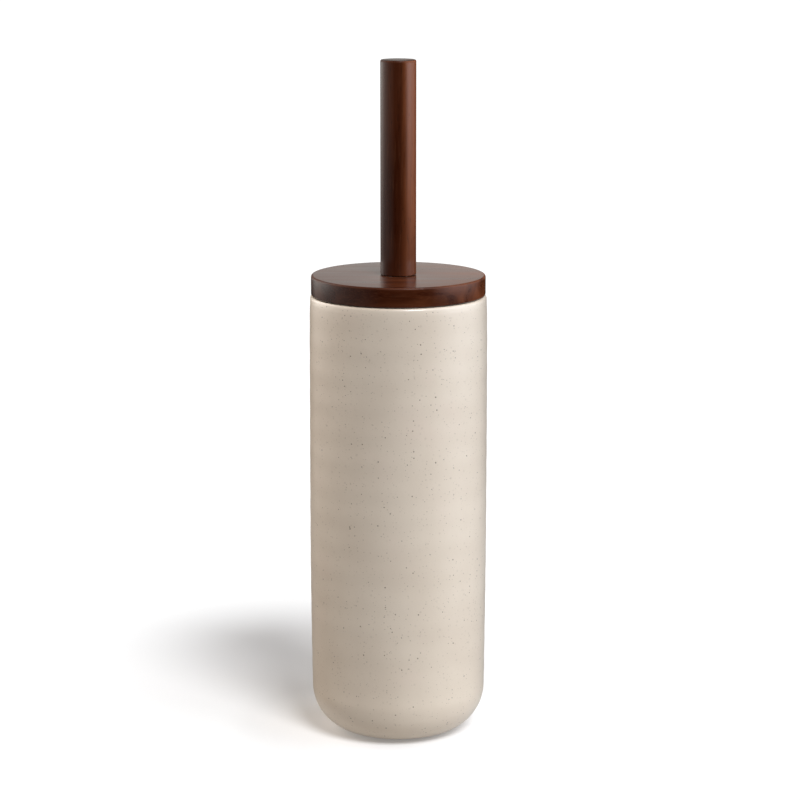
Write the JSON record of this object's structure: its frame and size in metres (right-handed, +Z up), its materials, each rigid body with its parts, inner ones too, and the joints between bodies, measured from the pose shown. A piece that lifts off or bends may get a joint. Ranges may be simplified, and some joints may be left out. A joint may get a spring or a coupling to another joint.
{
  "type": "toilet brush holder",
  "caption": "Tall round stoneware toilet brush holder with a lift-out drip liner, and a brush that hangs from its wooden lid and dowel handle.",
  "frame": {"origin": "on the floor, under the middle of the holder", "axes": "+Z up along the holder's round axis; the holder looks the same from every side"},
  "size_m": [0.097, 0.097, 0.3715],
  "materials": {
    "stoneware_glaze": "satin, speckled",
    "lid_wood": "dark stain, satin lacquer",
    "handle_wood": "dark stain, satin lacquer",
    "liner_plastic": "fine moulded grain",
    "plug_plastic": "fine moulded grain",
    "silicone": "matt, translucent",
    "pad_rubber": "matt",
    "gasket_rubber": "matt",
    "stem_steel": "brushed round the tube",
    "hardware_steel": "bright zinc",
    "insert_brass": "machined",
    "core_plastic": "smooth",
    "bristle_nylon": "satin filament"
  },
  "bodies": {
    "holder": {"canister": "stoneware_glaze", "foot_pad_1": "pad_rubber", "foot_pad_2": "pad_rubber", "foot_pad_3": "pad_rubber", "foot_pad_4": "pad_rubber"},
    "liner": {"liner": "liner_plastic"},
    "seal_ring": {"seal_ring": "silicone"},
    "brush": {"handle": "handle_wood", "handle_insert": "insert_brass", "lid_stud": "hardware_steel", "lid": "lid_wood", "lid_plug": "plug_plastic", "plug_screw_1": "hardware_steel", "plug_screw_2": "hardware_steel", "plug_screw_3": "hardware_steel", "clamp_washer": "hardware_steel", "stem_collar": "stem_steel", "stem": "stem_steel", "stem_top_plug": "hardware_steel", "stem_tip": "hardware_steel", "head_gasket": "gasket_rubber", "head_core": "core_plastic", "bristle_row_1": "bristle_nylon", "bristle_row_2": "bristle_nylon", "bristle_row_3": "bristle_nylon", "bristle_row_4": "bristle_nylon", "bristle_row_5": "bristle_nylon", "bristle_row_6": "bristle_nylon", "bristle_row_7": "bristle_nylon", "bristle_row_8": "bristle_nylon", "bristle_tip": "bristle_nylon"}
  },
  "joints": [
    {"name": "liner_lift", "type": "slide", "parent": "holder", "child": "liner", "axis": [0, 0, 1], "range_m": [0, 0.26]},
    {"name": "brush_lift", "type": "slide", "parent": "liner", "child": "seal_ring", "axis": [0, 0, 1], "range_m": [0, 0.25]},
    {"name": "brush_turn", "type": "hinge", "parent": "seal_ring", "child": "brush", "pos_m": [0, 0, 0.2443], "axis": [0, 0, 1], "continuous": true}
  ]
}
